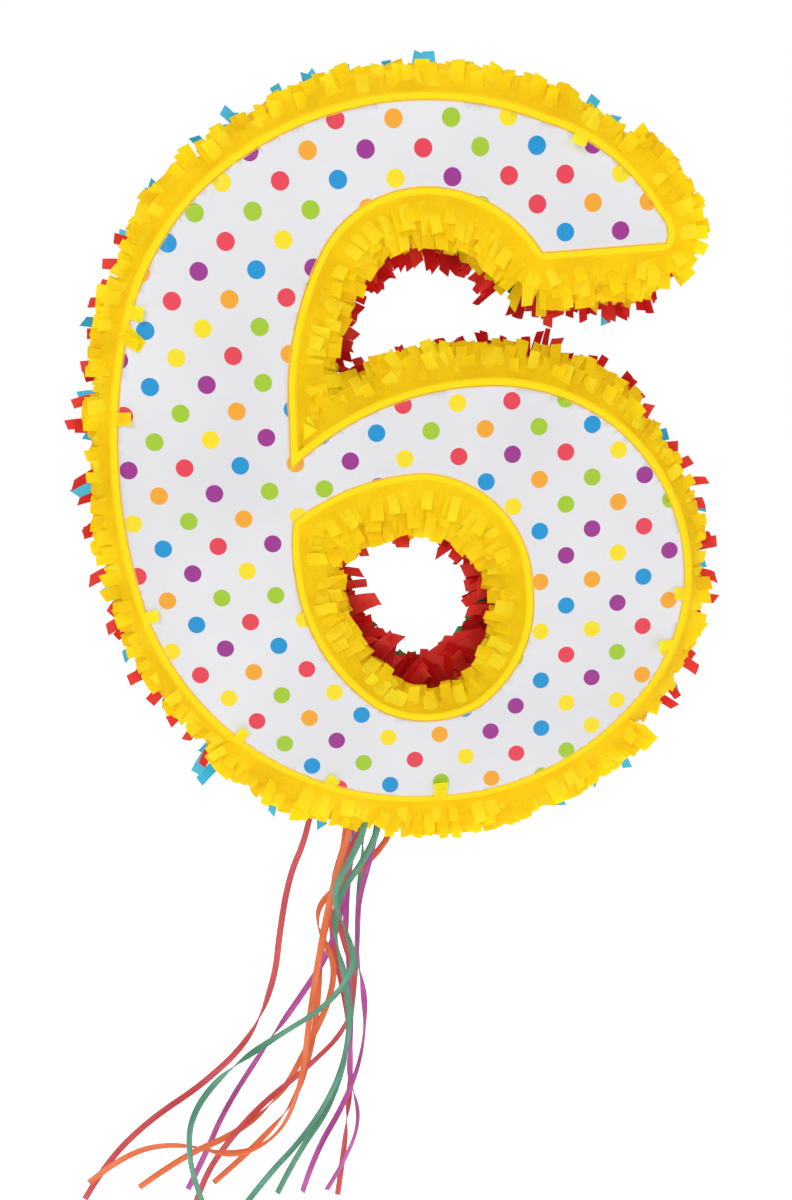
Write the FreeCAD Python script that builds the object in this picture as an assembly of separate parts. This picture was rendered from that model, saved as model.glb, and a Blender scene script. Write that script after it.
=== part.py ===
import FreeCAD, Part
import os
from math import cos, pi, radians, sin, tan
from FreeCAD import Vector

# A hanging number-six pinata: a flat cardboard box in the shape of the digit, wrapped in bands of
# cut tissue, with a printed paper sheet on each face and ribbons hanging from a trapdoor.
# Millimetres. X is to the right, Z is up, and the printed front faces -Y.
# Shapes are drawn with the middle of the front sheet at the origin, then moved so that the point
# that the pinata hangs from becomes the origin.

# Driving dimensions
depth = 80.0  # front sheet to back sheet
card = 2.5  # thickness of the corrugated card
paper = 0.3  # thickness of a printed sheet, with its glue
tissue = 0.4  # thickness of a glued band of tissue
margin = 5.0  # card beyond the edge of the printed sheet
finLength = 18.0  # how far the cut tissue stands off the card outside
holeFinLength = 20.0  # and inside the hole, where it stands up a little more
finThick = 0.6
finSetBack = 2.0  # from a band's front edge to its standing tissue
rowPitch = 16.0  # spacing of the tissue bands
bandWidth = 15.6
sheetGap = 0.2  # between a printed sheet and the tissue folded beside it
tape = 0.5  # gummed tape inside the corners
tapeLeg = 8.0
seam = 0.3  # gap where two strips of card meet
seamBlade = 24.0  # length of the cut that makes a seam, across a wall
cutGap = 0.5  # gap along a cut flap's free edges
cutReach = 10.0  # how far a cut for a flap runs on past the card, each side

# The pinata hangs from the top wall, where the outline is level
hangX = 15.0
holeSpacing = 24.0  # between the two holes for the hanging cord
holeRadius = 3.0
holeReach = 20.0  # how far the two holes run on below the wall
tissueParting = 6.0  # tissue parted in front of and behind the two holes
doublerWidth = 60.0
doublerDepth = 40.0

# Trapdoor in the bottom wall, hinged on a crease on its right
doorLeft = -20.0
doorRight = 50.0
doorFront = 17.0
doorBack = 63.0
bottomLow = -247.0  # the lowest point of the bottom wall, near the middle of the trapdoor
doorReach = 40.0  # how far the cut for the trapdoor runs up and down
hingeBevel = 40.0  # degrees that the tissue each side of the crease is cut back
bevelLength = 60.0
bevelRise = 1.0  # from the wall's outer face up to the bevel's edge
bevelSide = 0.9  # the bevel is this much wider than the trapdoor, each side
stopRadius = 5.0
stopThick = 1.2
stopClear = 0.1

# Filling flap in the back, hinged on a crease on its left
fillLeft = -160.0
fillRight = -100.0
fillLow = 40.0
fillHigh = 110.0
tabWidth = 24.0
tabLength = 30.0

# Ribbons
ribbonWidth = 5.0
boreRadius = 3.1
boreInside = 3.0  # how far a ribbon's hole runs on past its inner end
boreOutside = 30.0  # and past the first bend, through the tissue
bendShare = 0.45  # part of the shorter run beside a bend that its arc may use
limpRatio = 3.0  # a ribbon's least bend radius, in widths

# Outline of the printed sheet: each run is an arc through three points, or a line through two
outerRuns = [
    ((181, 149), (182, 158), (176, 168)),  # end of the arm
    ((176, 168), (148, 201), (98, 228)),  # top of the arm
    ((98, 228), (0, 243), (-133, 189)),  # crown
    ((-133, 189), (-163, 154), (-184, 112)),  # shoulder
    ((-184, 112), (-201, 8), (-189, -97)),  # left side
    ((-189, -97), (-122, -196), (10, -242)),  # lower left
    ((10, -242), (94, -227), (160, -180)),  # foot, with the trapdoor
    ((160, -180), (189, -136), (199, -84)),  # lower right
    ((199, -84), (182, -18), (137, 33)),  # right of the bowl
    ((137, 33), (97, 52), (49, 58)),  # top of the bowl
    ((49, 58), (-16, 46), (-83, 6)),  # down into the notch
    ((-83, 6), (-82, 40)),  # foot of the counter
    ((-82, 40), (-76, 97), (-52, 154)),  # side of the counter
    ((-52, 154), (-22, 180), (18, 189)),  # top of the counter
    ((18, 189), (63, 176), (95, 145)),  # under the arm
    ((95, 145), (181, 149)),  # arm's lower edge
]
holeRuns = [
    ((-83, -31), (-40, -9), (10, -1)),  # top left of the hole
    ((10, -1), (60, -24), (86, -84)),  # top right
    ((86, -84), (80, -132), (46, -174)),  # right
    ((46, -174), (10, -183), (-29, -172)),  # floor
    ((-29, -172), (-67, -128), (-84, -70)),  # left
    ((-84, -70), (-85, -50), (-83, -31)),  # top left corner
]

# Where the outer walls butt together: place in X and Z, and the way that the seam runs
outerSeams = [
    ((184, 146), -45),
    ((-166, 158), 142),
    ((-194, -99), 205),
    ((120, -221), -55),
    ((141, 37), 45),
    ((-79, 13), 60),
    ((95, 141), -100),
]
holeSeams = [((-80, -34), 145), ((42, -175), -65)]

# A point beside each wall, by which the cut strip is named
wallNames = {
    "top_wall": (13, 249),
    "left_wall": (-206, 0),
    "bottom_wall": (-60, -240),
    "right_wall": (204, -80),
    "bowl_top_wall": (49, 63),
    "counter_wall": (-74, 90),
    "arm_under_wall": (140, 142),
    "hole_wall_upper": (40, -12),
    "hole_wall_lower": (-66, -124),
}

bandColours = ["yellow_front", "yellow_second", "red", "green", "blue"]

# Ribbon routes, from the end inside the wall to the loose end: X, Y, Z
ribbonRoutes = {
    "pull_ribbon": [
        (-14, 40, -250.5), (-16, 40, -276), (-29, 40, -301), (-56, 40, -324), (-82, 40, -344),
        (-83, 40, -368), (-70, 40, -395), (-76, 40, -431), (-97, 40, -472), (-122, 40, -517),
        (-160, 40, -547), (-206, 40, -564), (-243, 40, -590),
    ],
    "dummy_ribbon_red_1": [
        (-80, 34, -214), (-80, 34, -250), (-89, 33, -286), (-102, 31, -312), (-112, 29, -355),
        (-119, 27, -401), (-141, 25, -450), (-182, 24, -487), (-225, 23, -513), (-264, 22, -549),
        (-284, 22, -582),
    ],
    "dummy_ribbon_orange_1": [
        (-50, 16, -229), (-50, 16, -262), (-62, 14, -294), (-73, 13, -331), (-84, 12, -380),
        (-94, 11, -433), (-101, 11, -480), (-120, 10, -528), (-158, 10, -546), (-202, 10, -527),
        (-245, 10, -532), (-276, 10, -557),
    ],
    "dummy_ribbon_green_1": [
        (-40, 10, -234), (-40, 10, -264), (-54, 8, -292), (-71, 6, -320), (-60, 4, -350),
        (-54, 2, -380), (-78, 0, -410), (-120, -1, -433), (-163, -2, -460), (-189, -2, -494),
        (-194, -1, -530), (-189, 0, -566), (-181, 0, -598),
    ],
    "dummy_ribbon_green_2": [
        (-28, 22, -233), (-28, 22, -266), (-42, 21, -298), (-66, 20, -328), (-70, 19, -362),
        (-62, 18, -402), (-61, 17, -446), (-74, 16, -491), (-102, 16, -536), (-136, 17, -572),
        (-162, 17, -606),
    ],
    "dummy_ribbon_magenta_1": [
        (-48, 46, -229), (-48, 46, -268), (-56, 47, -308), (-62, 48, -352), (-75, 49, -394),
        (-105, 50, -438), (-138, 50, -483), (-170, 50, -532), (-189, 50, -574), (-205, 50, -604),
    ],
    "dummy_ribbon_red_2": [
        (-34, 28, -229), (-34, 28, -262), (-54, 28, -292), (-69, 28, -330), (-64, 28, -366),
        (-54, 28, -404), (-62, 28, -448), (-97, 28, -482), (-134, 28, -510), (-166, 28, -544),
        (-190, 28, -580), (-200, 28, -612),
    ],
    "dummy_ribbon_orange_2": [
        (-53, 52, -225), (-53, 52, -263), (-59, 53, -304), (-69, 54, -348), (-82, 55, -391),
        (-86, 56, -440), (-94, 57, -486), (-110, 58, -534), (-146, 57, -574), (-184, 57, -606),
    ],
    "dummy_ribbon_green_3": [
        (-42, 58, -229), (-42, 58, -270), (-43, 59, -312), (-49, 61, -356), (-52, 62, -403),
        (-57, 63, -452), (-66, 63, -502), (-82, 63, -549), (-111, 64, -589), (-131, 64, -628),
    ],
    "dummy_ribbon_magenta_2": [
        (-38, 64, -230), (-38, 64, -266), (-50, 65, -302), (-57, 67, -342), (-61, 68, -388),
        (-58, 69, -436), (-60, 69, -484), (-64, 70, -526), (-55, 70, -564), (-68, 70, -602),
        (-88, 70, -634),
    ],
    "dummy_ribbon_red_3": [
        (-46, 70, -226), (-46, 70, -264), (-56, 72, -304), (-71, 74, -348), (-72, 75, -400),
        (-64, 76, -450), (-60, 76, -502), (-65, 77, -556), (-72, 77, -606), (-79, 77, -646),
    ],
    "dummy_ribbon_magenta_3": [
        (-30, 34, -233), (-30, 34, -268), (-38, 34, -304), (-50, 34, -342), (-53, 34, -386),
        (-47, 34, -432), (-52, 34, -480), (-70, 34, -525), (-95, 34, -566), (-108, 34, -604),
    ],
}

def flat(point, y=0.0):
    return Vector(point[0], y, point[1])


def closedWire(runs):
    edges = []
    for run in runs:
        points = [flat(p) for p in run]
        if len(points) == 2:
            edges.append(Part.LineSegment(points[0], points[1]).toShape())
        else:
            edges.append(Part.Arc(points[0], points[1], points[2]).toShape())
    return Part.Wire(edges)


def slab(wire, y, thickness):
    face = Part.Face(wire)
    face.translate(Vector(0, y, 0))
    return face.extrude(Vector(0, thickness, 0))


outerWire = closedWire(outerRuns)
holeWire = closedWire(holeRuns)


def outerAt(offset):
    """The outer outline, moved outwards by offset."""
    return outerWire.makeOffset2D(offset) if offset else outerWire


def holeAt(offset):
    """The outline of the hole, moved inwards by offset."""
    if not offset:
        return holeWire
    moved = holeWire.makeOffset2D(-offset)
    change = holeWire.BoundBox.DiagonalLength - moved.BoundBox.DiagonalLength
    if abs(change) < abs(offset) or change * offset < 0:
        raise ValueError("the hole's outline can't be moved in by %g" % offset)
    return moved


def digit(offset, y, thickness):
    """A plate in the shape of the digit, larger all round by offset."""
    return slab(outerAt(offset), y, thickness).cut(slab(holeAt(offset), y, thickness))


def outerRing(inner, outer, y, thickness):
    return slab(outerAt(outer), y, thickness).cut(slab(outerAt(inner), y, thickness))


def holeRing(inner, outer, y, thickness):
    return slab(holeAt(inner), y, thickness).cut(slab(holeAt(outer), y, thickness))


def outlinePoint(offset, x, low, high):
    """Where the outer outline, moved outwards by offset, crosses the upright line at x."""
    line = Part.makeLine(Vector(x, 0, low), Vector(x, 0, high))
    return outerAt(offset).distToShape(line)[1][0][0]


hangPoint = outlinePoint(margin, hangX, 200, 300) + Vector(0, depth / 2, 0)
crease = outlinePoint(margin, doorRight, -300, -200)


def box(low, high):
    size = Vector(*high) - Vector(*low)
    return Part.makeBox(size.x, size.y, size.z, Vector(*low))


def save(name, shape):
    shape = shape.removeSplitter()
    solids = shape.Solids
    whole = solids[0] if len(solids) == 1 else Part.makeCompound(solids)
    whole.translate(hangPoint * -1)
    if not whole.isValid() or not solids:
        raise ValueError("%s is not a valid solid" % name)
    whole.exportStep("parts/%s.step" % name)
    print("%-28s %d solid(s) %9.0f mm3" % (name, len(solids), whole.Volume))


def seamCutter(place, angle):
    """A thin blade across a wall, that leaves the gap of a butt joint."""
    corner = Vector(-seamBlade / 2, -1, -seam / 2)
    blade = Part.makeBox(seamBlade, depth + 2, seam, corner)
    blade.rotate(Vector(0, 0, 0), Vector(0, 1, 0), -angle)
    blade.translate(flat(place))
    return blade


def nearest(solids, point):
    spot = Part.Vertex(flat(point, depth / 2))
    return min(solids, key=lambda solid: solid.distToShape(spot)[0])


def ribbonBore(route):
    """The clearance that a ribbon needs where it comes down through the wall and the tissue."""
    top = Vector(*route[0]) + Vector(0, 0, boreInside)
    bottom = Vector(*route[1]) - Vector(0, 0, boreOutside)
    return Part.makeCylinder(boreRadius, (bottom - top).Length, top, bottom - top)


def doorZone(gap):
    """The trapdoor's block, smaller all round by gap."""
    low = (doorLeft + gap, doorFront + gap, bottomLow - doorReach)
    high = (doorRight - gap, doorBack - gap, bottomLow + doorReach)
    return box(low, high)


def fillZone(gap):
    low = (fillLeft + gap, depth - cutReach, fillLow + gap)
    high = (fillRight - gap, depth + cutReach, fillHigh - gap)
    return box(low, high)


def bevelCutter():
    """A wedge under the crease, so that the tissue each side doesn't meet as the door swings."""
    apex = crease + Vector(0, 0, bevelRise)
    slope = radians(hingeBevel)
    across = bevelLength * cos(slope)
    down = bevelLength * sin(slope)
    left = apex + Vector(-across, 0, -down)
    right = apex + Vector(across, 0, -down)
    low = apex + Vector(0, 0, -2 * down)
    wire = Part.makePolygon([apex, left, low, right, apex])
    face = Part.Face(wire)
    face.translate(Vector(0, doorFront - bevelSide, 0))
    return face.extrude(Vector(0, doorBack - doorFront + 2 * bevelSide, 0))


def makeWalls(bores):
    y = paper + card
    length = depth - 2 * y
    outer = outerRing(margin - card, margin, y, length)
    hole = holeRing(margin - card, margin, y, length)
    for place, angle in outerSeams:
        outer = outer.cut(seamCutter(place, angle))
    for place, angle in holeSeams:
        hole = hole.cut(seamCutter(place, angle))
    strips = outer.Solids + hole.Solids
    if len(strips) != len(wallNames):
        raise ValueError("the walls came out as %d strips" % len(strips))
    for name, point in wallNames.items():
        wall = nearest(strips, point)
        if name == "top_wall":
            wall = wall.cut(hangingHoles())
        if name == "bottom_wall":
            door = wall.common(doorZone(cutGap)).cut(doorStopHole())
            wall = wall.cut(doorZone(0))
            for bore in bores:
                wall = wall.cut(bore)
            save("trapdoor", door)
        save(name, wall)


def hangingHoles():
    holes = []
    for side in (-1, 1):
        base = hangPoint + Vector(side * holeSpacing / 2, 0, -holeReach)
        holes.append(Part.makeCylinder(holeRadius, 3 * holeReach, base, Vector(0, 0, 1)))
    return Part.makeCompound(holes)


def makeHanger():
    """The doubler glued under the top wall, round the two holes for the hanging cord."""
    plate = outerRing(margin - 2 * card, margin - card, depth / 2 - doublerDepth / 2, doublerDepth)
    around = box((hangX - doublerWidth / 2, 0, 200), (hangX + doublerWidth / 2, depth, 300))
    save("hanger_doubler", plate.common(around).cut(hangingHoles()))


def makeCards():
    front = digit(margin, paper, card)
    save("front_card", front)
    back = digit(margin, depth - paper - card, card)
    save("back_card", back.cut(fillZone(0)))
    save("fill_flap", back.common(fillZone(cutGap)))


def makeSheets():
    save("front_sheet", digit(0, 0, paper))
    back = digit(0, depth - paper, paper)
    save("back_sheet", back.cut(fillZone(0)))
    save("fill_flap_sheet", back.common(fillZone(cutGap)))
    middle = (fillLow + fillHigh) / 2
    low = (fillRight - tabLength / 2, depth, middle - tabWidth / 2)
    high = (fillRight + tabLength / 2, depth + paper, middle + tabWidth / 2)
    save("fill_flap_tab", box(low, high))


def makeTapes(bores):
    """Gummed tape in the four inner corners, an L in section, where cards meet walls."""
    inset = margin - card
    for side in ("front", "back"):
        flatY = paper + card if side == "front" else depth - paper - card - tape
        legY = paper + card if side == "front" else depth - paper - card - tapeLeg
        for name, ring in (("outer", outerRing), ("hole", holeRing)):
            leg = ring(inset - tape, inset, legY, tapeLeg)
            foot = ring(inset - tapeLeg, inset, flatY, tape)
            strip = leg.fuse(foot)
            if name == "outer":
                strip = strip.cut(Part.makeCompound(bores))
            save("%s_%s_tape" % (name, side), strip)


def band(ring, index, reach):
    """One band of tissue: the glued header on the wall, and the cut edge standing off it."""
    start = index * rowPitch
    width = depth - start if index == len(bandColours) - 1 else bandWidth
    header = ring(margin, margin + tissue, start, width)
    fin = ring(margin, margin + reach, start + finSetBack, finThick)
    whole = header.fuse(fin)
    if index == 0:
        whole = whole.fuse(ring(sheetGap, margin, 0, paper))
    if index == len(bandColours) - 1:
        whole = whole.fuse(ring(sheetGap, margin, depth - paper, paper))
    return whole


def makeBands(bores):
    bevel = bevelCutter()
    for index, colour in enumerate(bandColours):
        outer = band(outerRing, index, finLength).cut(hangingClearance())
        for bore in bores:
            outer = outer.cut(bore)
        if 0 < index < len(bandColours) - 1:
            beveled = outer.cut(bevel)
            patch = beveled.common(doorZone(cutGap)).cut(doorStopHole())
            outer = beveled.cut(doorZone(0))
            save("trapdoor_band_%s" % colour, patch)
        save("outer_band_%s" % colour, outer)
        save("hole_band_%s" % colour, band(holeRing, index, holeFinLength))


def hangingClearance():
    """The tissue is parted over the holes for the hanging cord."""
    low = (hangX - holeSpacing, depth / 2 - tissueParting, 200)
    high = (hangX + holeSpacing, depth / 2 + tissueParting, 300)
    return box(low, high)


def doorStopHole():
    """The hole that the pull ribbon's end goes through, in the trapdoor."""
    x, y, z = ribbonRoutes["pull_ribbon"][0]
    base = Vector(x, y, z - boreOutside)
    return Part.makeCylinder(ribbonWidth / 2, 2 * boreOutside, base, Vector(0, 0, 1))


def makeStop():
    """The disc behind the trapdoor that the end of the pull ribbon is stuck to."""
    x, y, z = ribbonRoutes["pull_ribbon"][0]
    top = outlinePoint(margin - card, x - stopRadius, z - 20, -200)
    base = Vector(x, y, top.z + stopClear)
    save("pull_ribbon_stop", Part.makeCylinder(stopRadius, stopThick, base, Vector(0, 0, 1)))


def ribbonTube(name, points):
    """A tube along straight runs joined by tangent arcs, each as large as its two runs allow."""
    places = [Vector(*p) for p in points]
    edges = []
    radii = []
    last = places[0]
    for before, corner, after in zip(places, places[1:], places[2:]):
        back = before - corner
        ahead = after - corner
        turn = pi - back.getAngle(ahead)
        radius = bendShare * min(back.Length, ahead.Length) / tan(turn / 2)
        trim = radius * tan(turn / 2)
        start = corner + back.normalize() * trim
        end = corner + ahead.normalize() * trim
        bisector = (back + ahead).normalize()
        middle = corner + bisector * (radius / cos(turn / 2) - radius)
        edges.append(Part.LineSegment(last, start).toShape())
        edges.append(Part.Arc(start, middle, end).toShape())
        radii.append(radius)
        last = end
    edges.append(Part.LineSegment(last, places[-1]).toShape())
    path = Part.Wire(edges)
    section = Part.Wire(Part.makeCircle(ribbonWidth / 2, places[0], places[1] - places[0]))
    tube = path.makePipeShell([section], True, False)
    ideal = pi * (ribbonWidth / 2) ** 2 * path.Length
    print("%-24s length %4.0f radii %s volume/ideal %.4f" % (
        name, path.Length, [round(r) for r in radii], tube.Volume / ideal))
    if min(radii) < limpRatio * ribbonWidth:
        raise ValueError("%s bends too sharply" % name)
    return tube


def main():
    os.makedirs("parts", exist_ok=True)
    dummies = [route for name, route in ribbonRoutes.items() if name != "pull_ribbon"]
    bores = [ribbonBore(route) for route in dummies]
    print("crease of the trapdoor", crease - hangPoint, "hang point", hangPoint)
    makeWalls(bores)
    makeHanger()
    makeCards()
    makeSheets()
    makeTapes(bores)
    makeBands(bores)
    makeStop()
    for name, route in ribbonRoutes.items():
        save(name, ribbonTube(name, route))


main()
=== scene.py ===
import math
import random

import bmesh
import bpy
import numpy as np
from mathutils import Matrix, Vector


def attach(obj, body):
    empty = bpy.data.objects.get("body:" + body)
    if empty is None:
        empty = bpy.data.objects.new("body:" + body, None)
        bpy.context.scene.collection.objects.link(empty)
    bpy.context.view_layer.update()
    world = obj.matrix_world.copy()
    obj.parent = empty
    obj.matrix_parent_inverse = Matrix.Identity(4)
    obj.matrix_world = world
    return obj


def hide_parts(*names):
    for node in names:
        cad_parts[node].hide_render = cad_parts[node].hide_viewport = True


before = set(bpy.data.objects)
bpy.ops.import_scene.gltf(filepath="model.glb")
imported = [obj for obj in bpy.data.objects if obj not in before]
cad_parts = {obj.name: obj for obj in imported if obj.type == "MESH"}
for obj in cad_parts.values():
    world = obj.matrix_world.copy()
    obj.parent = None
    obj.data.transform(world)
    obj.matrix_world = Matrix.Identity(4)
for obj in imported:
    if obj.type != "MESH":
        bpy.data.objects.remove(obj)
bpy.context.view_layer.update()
scene = bpy.context.scene
scene.view_settings.view_transform = "Standard"
mm = 0.001
drawingOrigin = Vector((15, 40, 248.506)) * mm  # the hang point, in the drawing's own middle-of-sheet frame
print("frame loaded,", len(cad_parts), "CAD nodes")


# --- helpers for nodes, meshes and colours

def ink(red, green, blue):  # 0-255 values as the eye reads them, to the shader's linear ones
    linear = []
    for value in (red / 255, green / 255, blue / 255):
        linear.append(value / 12.92 if value <= 0.04045 else ((value + 0.055) / 1.055) ** 2.4)
    return (*linear, 1)


def addNode(tree, kind, links=None, **settings):
    node = tree.nodes.new(kind)
    for key, value in settings.items():
        setattr(node, key, value)
    for key, value in (links or {}).items():
        if isinstance(value, bpy.types.NodeSocket):
            tree.links.new(value, node.inputs[key])
        else:
            node.inputs[key].default_value = value
    return node


def math1(tree, operation, a, b=0.0, c=0.0):
    return addNode(tree, "ShaderNodeMath", {0: a, 1: b, 2: c}, operation=operation).outputs[0]


def vector1(tree, operation, a, b=(0, 0, 0)):
    node = addNode(tree, "ShaderNodeVectorMath", {0: a, 1: b}, operation=operation)
    return node.outputs["Value" if operation in ("DOT_PRODUCT", "LENGTH", "DISTANCE") else "Vector"]


def scaled(tree, vector, factor):
    return addNode(tree, "ShaderNodeVectorMath", {0: vector, "Scale": factor}, operation="SCALE").outputs["Vector"]


def rampNode(tree, factor, stops):
    ramp = addNode(tree, "ShaderNodeValToRGB", {"Fac": factor})
    elements = ramp.color_ramp.elements
    while len(elements) < len(stops):
        elements.new(0.5)
    for element, (place, value) in zip(elements, stops):
        element.position = place
        element.color = value
    return ramp.outputs["Color"]


def mixColours(tree, factor, a, b, blend="MIX"):
    node = addNode(tree, "ShaderNodeMix", data_type="RGBA", blend_type=blend)
    for key, value in ((0, factor), (6, a), (7, b)):
        if isinstance(value, bpy.types.NodeSocket):
            tree.links.new(value, node.inputs[key])
        else:
            node.inputs[key].default_value = value
    return node.outputs[2]


def newMaterial(name):
    material = bpy.data.materials.new(name)
    material.use_nodes = True
    tree = material.node_tree
    tree.nodes.clear()
    output = tree.nodes.new("ShaderNodeOutputMaterial")
    where = tree.nodes.new("ShaderNodeTexCoord").outputs["Object"]
    return material, tree, output, where


def showObject(name, mesh, material=None):
    piece = bpy.data.objects.new(name, mesh)
    scene.collection.objects.link(piece)
    if material is not None:
        mesh.materials.clear()
        mesh.materials.append(material)
    return piece


def bakeMesh(piece):  # the evaluated result as a plain mesh, with the modifiers gone
    mesh = bpy.data.meshes.new_from_object(piece.evaluated_get(bpy.context.evaluated_depsgraph_get()))
    piece.modifiers.clear()
    old = piece.data
    if piece.type == "MESH":
        piece.data = mesh
        bpy.data.meshes.remove(old)
    return mesh


# --- camera

camera = {
    "place": Vector((-0.08343, -0.79537, -0.17572)),
    "right": Vector((0.99613, -0.08044, -0.03535)),
    "up": Vector((0.05143, 0.20754, 0.97687)),
    "lens": 32.36,
}
lensData = bpy.data.cameras.new("camera")
lensData.lens = camera["lens"]
lensData.sensor_width = 36
lensData.clip_start = 0.01
cameraObject = bpy.data.objects.new("camera", lensData)
scene.collection.objects.link(cameraObject)
rightWay = camera["right"].normalized()
backWay = rightWay.cross(camera["up"]).normalized()
upWay = backWay.cross(rightWay)
turned = [[rightWay[i], upWay[i], backWay[i], camera["place"][i]] for i in range(3)] + [[0, 0, 0, 1]]
cameraObject.matrix_world = Matrix(turned)
scene.camera = cameraObject
print("camera set")


# --- tissue, paper, card and ribbon finishes

# deep, middle and bright inks: painted shade, plain tissue colour and painted highlight
tissueInks = {
    "yellow": {"deep": (244, 208, 0), "middle": (255, 228, 0), "bright": (255, 241, 40)},
    "red": {"deep": (188, 12, 14), "middle": (222, 28, 26), "bright": (244, 74, 64)},
    "green": {"deep": (34, 118, 56), "middle": (48, 148, 72), "bright": (88, 178, 96)},
    "blue": {"deep": (0, 136, 168), "middle": (12, 168, 208), "bright": (90, 204, 232)},
}
tissueFinish = {"clear": 0.5, "clearGlued": 0.04, "roughness": 0.66, "crinkle": 0.35}


def tissueMaterial(name, glued):
    inks = tissueInks[name]
    material, tree, output, where = newMaterial(("glued tissue " if glued else "cut tissue ") + name)
    tone = addNode(tree, "ShaderNodeAttribute", attribute_name="tone").outputs["Fac"]
    cloud = addNode(tree, "ShaderNodeTexNoise", {"Vector": where, "Scale": 34.0, "Detail": 3.0}).outputs["Fac"]
    fibre = addNode(tree, "ShaderNodeTexNoise", {"Vector": where, "Scale": 900.0, "Detail": 4.0, "Roughness": 0.7}).outputs["Fac"]
    crease = addNode(tree, "ShaderNodeTexNoise", {"Vector": where, "Scale": 260.0, "Detail": 2.0, "Distortion": 1.4}).outputs["Fac"]
    level = math1(tree, "MULTIPLY_ADD", cloud, 0.7, math1(tree, "ADD", tone, -0.35))
    level = math1(tree, "MULTIPLY_ADD", fibre, 0.16, math1(tree, "ADD", level, -0.08))
    # deep ink to bright ink: random differences between strips, and painted shade and highlight set by layer
    paint = rampNode(tree, level, [(0.12, ink(*inks["deep"])), (0.5, ink(*inks["middle"])), (0.95, ink(*inks["bright"]))])
    height = math1(tree, "MULTIPLY_ADD", crease, 0.8, math1(tree, "MULTIPLY", fibre, 0.35))
    bump = addNode(tree, "ShaderNodeBump", {"Height": height, "Strength": tissueFinish["crinkle"], "Distance": 0.0012}).outputs["Normal"]
    solid = addNode(tree, "ShaderNodeBsdfPrincipled", {
        "Base Color": paint, "Roughness": tissueFinish["roughness"], "Specular IOR Level": 0.22, "Normal": bump})
    through = addNode(tree, "ShaderNodeBsdfTranslucent", {"Color": paint, "Normal": bump})
    mixed = addNode(tree, "ShaderNodeMixShader", {0: tissueFinish["clearGlued" if glued else "clear"], 1: solid.outputs[0], 2: through.outputs[0]})
    tree.links.new(mixed.outputs[0], output.inputs["Surface"])
    return material


dotPattern = {
    "columnPitch": 38.1 * mm,
    "rowPitch": 18.528 * mm,
    "firstColumn": -208.97 * mm,
    "firstRow": -16.24 * mm,
    "radius": 6.1 * mm,
    "inks": {
        "R": (212, 54, 72), "O": (224, 152, 34), "G": (148, 184, 36),
        "B": (0, 134, 192), "P": (142, 38, 130), "Y": (228, 204, 16),
    },
    # each printed row from its first full column on: a dot stands for a column under the tissue
    "rows": [
        (4, "ROGYG"), (2, "POPRGBP"), (2, "YRBYPRRY"), (1, "GGGO...OOB"), (1, "BRY....BP"), (1, "PBP"),
        (1, "ROR"), (0, "BYG"), (0, "PYRO"), (0, "BPG"), (0, "RGOB.RYRG"), (0, "GYP.BGOGB"),
        (0, "PRBOPYRPRY"), (0, "OPGG..BOGP"), (0, "YGOY...YGOG"), (0, "BRP....BPR"), (0, "RPYR....PYP"),
        (0, "OGG....OOB"), (1, "BRY....BPO"), (0, "YPB....YYR"), (1, "ROR...GRGY"), (1, "YGY...BPO"),
        (2, "ROB.BPYY"), (2, "GPYOPBY"), (3, "BGRYRG"), (3, "RBGO"),
    ],
}


def dotInkAt(x, z):
    row = round((dotPattern["firstRow"] - z) / dotPattern["rowPitch"])
    shift = 0.5 if row % 2 else 0.0
    column = round((x - dotPattern["firstColumn"]) / dotPattern["columnPitch"] - shift)
    letter = "."
    if 0 <= row < len(dotPattern["rows"]):
        first, letters = dotPattern["rows"][row]
        if 0 <= column - first < len(letters):
            letter = letters[column - first]
    if letter == ".":
        letter = random.Random(row * 97 + column * 13).choice("ROGBPY")
    return ink(*dotPattern["inks"][letter])


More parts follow.
